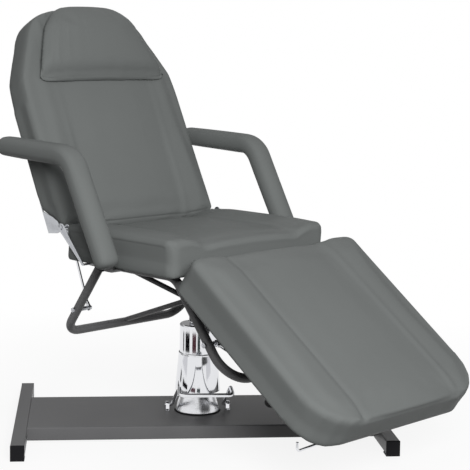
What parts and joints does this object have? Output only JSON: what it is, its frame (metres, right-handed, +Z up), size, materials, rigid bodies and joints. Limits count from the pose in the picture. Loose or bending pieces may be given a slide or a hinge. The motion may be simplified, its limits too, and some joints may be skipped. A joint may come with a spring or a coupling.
{
  "type": "massage table",
  "caption": "Hydraulic massage table: padded three-section chair with armrests and head pillow, swivelling on a foot-pumped chrome pedestal and a flat steel base.",
  "frame": {"origin": "on the floor, in the middle of the part's bounding box", "axes": "+X along the base plate, +Y away from the pedal, +Z up; the chair is turned about the pump and faces +X -Y"},
  "size_m": [1.2858, 1.3664, 1.2272],
  "materials": {
    "upholstery": "satin",
    "frame_paint": "satin",
    "chrome": "polished",
    "zinc": "satin",
    "cap_plastic": "matte",
    "rubber": "matte",
    "board": "matte"
  },
  "bodies": {
    "base": {"base_plate": "frame_paint", "end_cap_front_left": "cap_plastic", "end_cap_front_right": "cap_plastic", "end_cap_rear_left": "cap_plastic", "end_cap_rear_right": "cap_plastic", "foot_tube_left": "frame_paint", "foot_tube_right": "frame_paint", "pedal_bracket_left": "chrome", "pedal_bracket_right": "chrome", "pump_foot": "chrome", "pump_gasket": "rubber", "pump_housing": "chrome", "pump_sleeve": "chrome"},
    "pedal": {"pedal_lever": "chrome"},
    "ram": {"piston_ram": "chrome"},
    "chair": {"armrest_bracket_left": "frame_paint", "armrest_bracket_right": "frame_paint", "armrest_pad_left": "upholstery", "armrest_pad_right": "upholstery", "back_hinge_strap_left": "zinc", "back_hinge_strap_right": "zinc", "back_stay_bolt_left": "zinc", "back_stay_bolt_right": "zinc", "leg_hinge_lug_left": "frame_paint", "leg_hinge_lug_right": "frame_paint", "leg_stay_bolt_left": "zinc", "leg_stay_bolt_right": "zinc", "rail_brace_left": "frame_paint", "rail_brace_right": "frame_paint", "rear_strut": "frame_paint", "rear_u_tube": "frame_paint", "seat_board": "board", "seat_cushion": "upholstery", "seat_frame": "frame_paint", "swivel_hub": "frame_paint"},
    "backrest": {"back_board": "board", "back_cushion": "upholstery", "back_hinge_plate_left": "zinc", "back_hinge_plate_right": "zinc", "back_stay_bracket_left": "zinc", "back_stay_bracket_right": "zinc", "head_pillow": "upholstery"},
    "leg_rest": {"leg_board": "board", "leg_cushion": "upholstery", "leg_hinge_arm_left": "frame_paint", "leg_hinge_arm_right": "frame_paint", "leg_pull_hook": "chrome", "leg_rubber_stop_left": "rubber", "leg_rubber_stop_right": "rubber", "leg_stay_bracket_left": "zinc", "leg_stay_bracket_right": "zinc"},
    "back_rods": {"back_stay_rod_left": "chrome", "back_stay_rod_right": "chrome"},
    "back_bars": {"back_stay_bar_left": "zinc", "back_stay_bar_right": "zinc"},
    "leg_rods": {"leg_stay_rod_left": "chrome", "leg_stay_rod_right": "chrome"},
    "leg_bars": {"leg_stay_bar_left": "zinc", "leg_stay_bar_right": "zinc"}
  },
  "joints": [
    {"name": "pump_lift", "type": "slide", "parent": "base", "child": "ram", "axis": [0, 0, 1], "range_m": [0, 0.15]},
    {"name": "chair_swivel", "type": "hinge", "parent": "ram", "child": "chair", "pos_m": [-0.05376, 0.07751, 0], "axis": [0, 0, 1], "continuous": true},
    {"name": "pedal_press", "type": "hinge", "parent": "base", "child": "pedal", "pos_m": [-0.05376, 0.07751, 0.062], "axis": [1, 0, 0], "range_deg": [0, 18], "stiffness_Nm_per_rad": 8, "springref_deg": -11.46},
    {"name": "back_recline", "type": "hinge", "parent": "chair", "child": "backrest", "pos_m": [-0.20829, 0.26698, 0.585], "axis": [-0.7749, -0.632, 0], "range_deg": [0, 64.2]},
    {"name": "leg_rest_lift", "type": "hinge", "parent": "chair", "child": "leg_rest", "pos_m": [0.08402, -0.09143, 0.48], "axis": [-0.7749, -0.632, 0], "range_deg": [0, 35]},
    {"name": "back_rod_turn", "type": "hinge", "parent": "chair", "child": "back_rods", "pos_m": [-0.2282, 0.2914, 0.331], "axis": [-0.7749, -0.632, 0], "range_deg": [0, 32.15]},
    {"name": "back_bar_turn", "type": "hinge", "parent": "backrest", "child": "back_bars", "pos_m": [-0.33706, 0.42487, 0.73992], "axis": [-0.7749, -0.632, 0], "range_deg": [-32.15, 0]},
    {"name": "leg_rod_turn", "type": "hinge", "parent": "chair", "child": "leg_rods", "pos_m": [0.11095, -0.12444, 0.314], "axis": [-0.7749, -0.632, 0], "range_deg": [0, 38.43]},
    {"name": "leg_bar_turn", "type": "hinge", "parent": "leg_rest", "child": "leg_bars", "pos_m": [0.28459, -0.33735, 0.23583], "axis": [-0.7749, -0.632, 0], "range_deg": [0, 3.43]}
  ],
  "couplings": [
    {"joint": "back_rod_turn", "follows": "back_recline", "ratio": 0.5},
    {"joint": "back_bar_turn", "follows": "back_recline", "ratio": -0.5},
    {"joint": "leg_rod_turn", "follows": "leg_rest_lift", "ratio": 1.0965},
    {"joint": "leg_bar_turn", "follows": "leg_rest_lift", "ratio": 0.096516}
  ]
}
